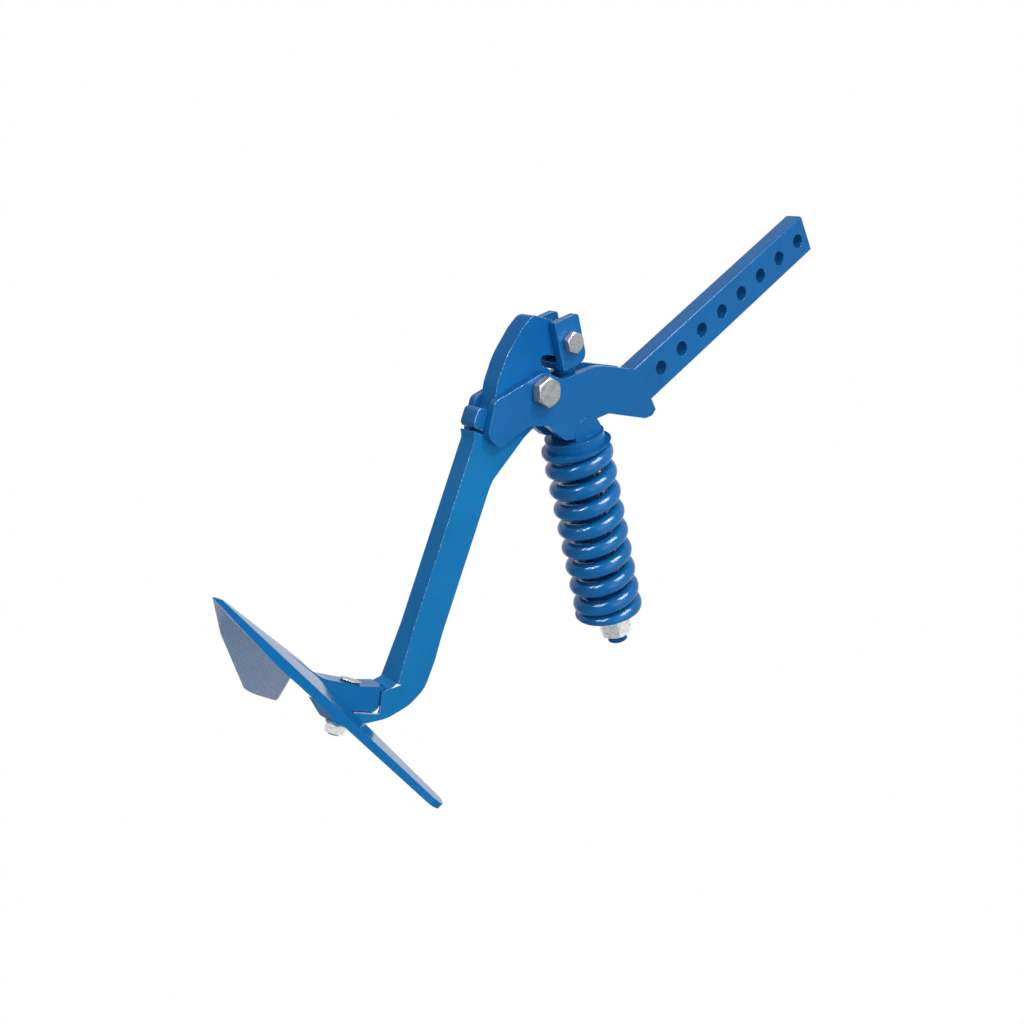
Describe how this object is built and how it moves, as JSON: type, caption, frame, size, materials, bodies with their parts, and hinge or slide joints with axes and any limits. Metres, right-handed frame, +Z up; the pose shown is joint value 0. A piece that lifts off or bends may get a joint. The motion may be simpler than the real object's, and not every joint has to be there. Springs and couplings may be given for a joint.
{
  "type": "cultivator spring tine",
  "caption": "Spring-loaded cultivator tine: drilled mounting bar, pivoting shank with a V-shaped sweep share, and a compression spring on a pull rod.",
  "frame": {"origin": "centre of the row of mounting holes, in the mid-plane of the bar", "axes": "+X the working direction, +Y the left side where the bolt heads are, +Z up along the bar"},
  "size_m": [0.4367, 0.3652, 0.8961],
  "materials": {
    "frame_paint": "semi-gloss",
    "shank_paint": "semi-gloss over a forged surface",
    "share_paint": "gloss",
    "spring_paint": "gloss",
    "zinc": "zinc plated",
    "bare_steel": "turned"
  },
  "bodies": {
    "frame": {"mounting_bar": "frame_paint", "left_cheek": "frame_paint", "right_cheek": "frame_paint", "stop_bar": "frame_paint", "pivot_bolt": "zinc", "pivot_nut": "zinc", "pivot_washer": "zinc", "pivot_bush": "bare_steel"},
    "shank": {"shank": "shank_paint", "sweep_share": "share_paint", "share_bolt": "zinc", "share_nut": "zinc", "share_washer": "zinc"},
    "pull_rod": {"left_fork_plate": "frame_paint", "right_fork_plate": "frame_paint", "fork_block": "frame_paint", "tension_rod": "frame_paint", "anchor_bolt": "zinc", "anchor_nut": "zinc", "anchor_washer": "zinc", "anchor_bush": "bare_steel", "spring_plug": "frame_paint", "adjusting_nut": "zinc"},
    "seat": {"spring_seat": "frame_paint", "spring": "spring_paint"}
  },
  "joints": [
    {"name": "shank_pivot", "type": "hinge", "parent": "frame", "child": "shank", "pos_m": [0.092, 0, -0.312], "axis": [0, 1, 0], "range_deg": [0, 28], "stiffness_Nm_per_rad": 500, "springref_deg": -68.75, "deforming": ["spring"]},
    {"name": "rod_pivot", "type": "hinge", "parent": "shank", "child": "pull_rod", "pos_m": [0.11594, 0, -0.25153], "axis": [0, 1, 0], "range_deg": [-17.6, 0]},
    {"name": "seat_rock", "type": "hinge", "parent": "frame", "child": "seat", "pos_m": [0.00806, 0, -0.27973], "axis": [0, 1, 0], "range_deg": [0, 10.5]}
  ],
  "couplings": [
    {"joint": "rod_pivot", "follows": "shank_pivot", "ratio": -0.6275},
    {"joint": "seat_rock", "follows": "shank_pivot", "ratio": 0.3725}
  ]
}
